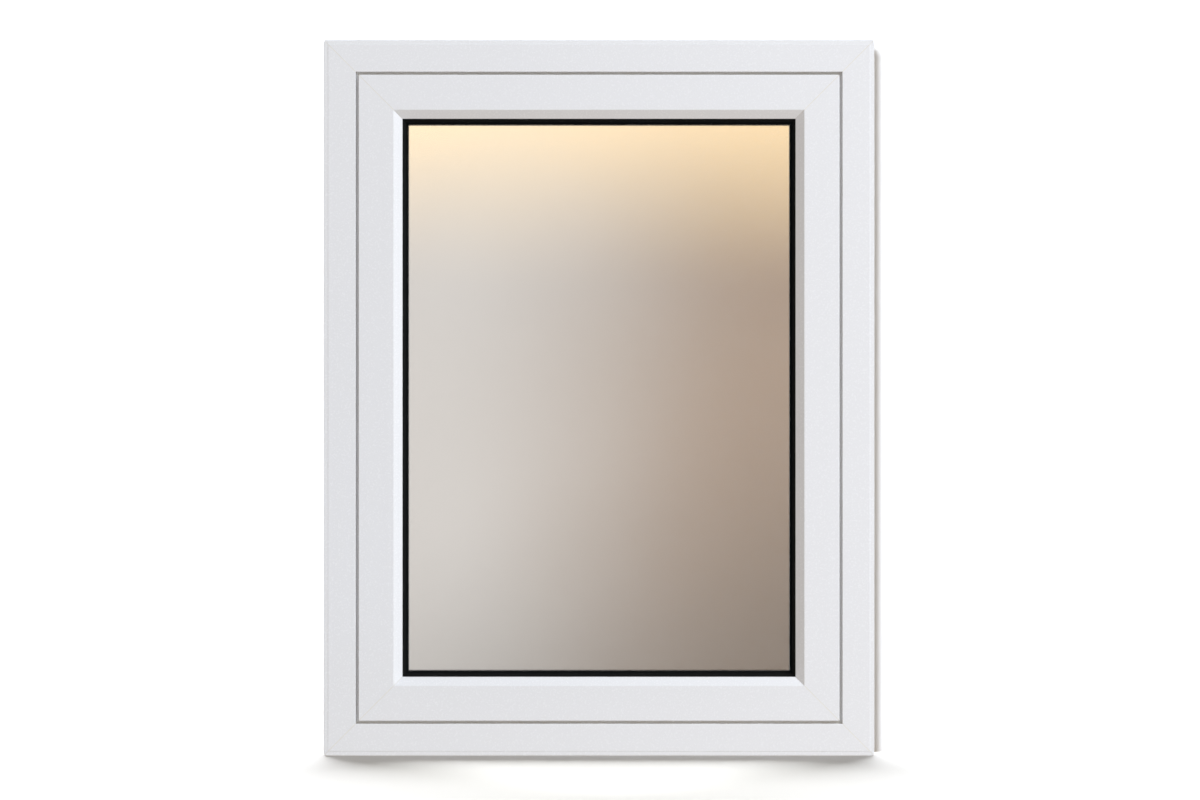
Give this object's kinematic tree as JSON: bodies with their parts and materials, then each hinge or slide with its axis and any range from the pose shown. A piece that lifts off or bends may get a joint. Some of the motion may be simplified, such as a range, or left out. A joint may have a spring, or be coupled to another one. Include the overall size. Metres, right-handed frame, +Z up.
{
  "type": "fixed window",
  "caption": "White fixed window: mitred hollow frame, flush non-opening sash with a thin shadow line, sealed triple glass unit, black gaskets and snap-in inside beads.",
  "frame": {"origin": "bottom centre of the outer frame, at the middle of its depth", "axes": "+Z up, +X to the right as seen from outside, -Y to the outside and +Y to the room"},
  "size_m": [0.8, 0.07, 1.04],
  "materials": {
    "upvc_profile": "white extruded uPVC, satin gloss",
    "upvc_bead": "white extruded uPVC, satin gloss",
    "glazing_gasket": "matte black",
    "weather_seal": "matte black",
    "spacer_bar": "matte black warm-edge bar",
    "edge_sealant": "matte black",
    "clear_glass": "clear polished float glass",
    "packer_plastic": "matte moulded plastic"
  },
  "bodies": {
    "root": {"frame_head": "upvc_profile", "frame_sill": "upvc_profile", "frame_jamb_left": "upvc_profile", "frame_jamb_right": "upvc_profile", "sash_top_rail": "upvc_profile", "sash_bottom_rail": "upvc_profile", "sash_stile_left": "upvc_profile", "sash_stile_right": "upvc_profile", "glazing_bead_top": "upvc_bead", "glazing_bead_bottom": "upvc_bead", "glazing_bead_left": "upvc_bead", "glazing_bead_right": "upvc_bead", "outer_gasket_top": "glazing_gasket", "outer_gasket_bottom": "glazing_gasket", "outer_gasket_left": "glazing_gasket", "outer_gasket_right": "glazing_gasket", "inner_gasket_top": "glazing_gasket", "inner_gasket_bottom": "glazing_gasket", "inner_gasket_left": "glazing_gasket", "inner_gasket_right": "glazing_gasket", "weather_seal_top": "weather_seal", "weather_seal_bottom": "weather_seal", "weather_seal_left": "weather_seal", "weather_seal_right": "weather_seal", "spacer_bar_top": "spacer_bar", "spacer_bar_bottom": "spacer_bar", "spacer_bar_left": "spacer_bar", "spacer_bar_right": "spacer_bar", "edge_seal_top": "edge_sealant", "edge_seal_bottom": "edge_sealant", "edge_seal_left": "edge_sealant", "edge_seal_right": "edge_sealant", "outer_pane": "clear_glass", "middle_pane": "clear_glass", "inner_pane": "clear_glass", "setting_blocks": "packer_plastic", "location_blocks": "packer_plastic", "sash_packers": "packer_plastic"}
  },
  "joints": []
}
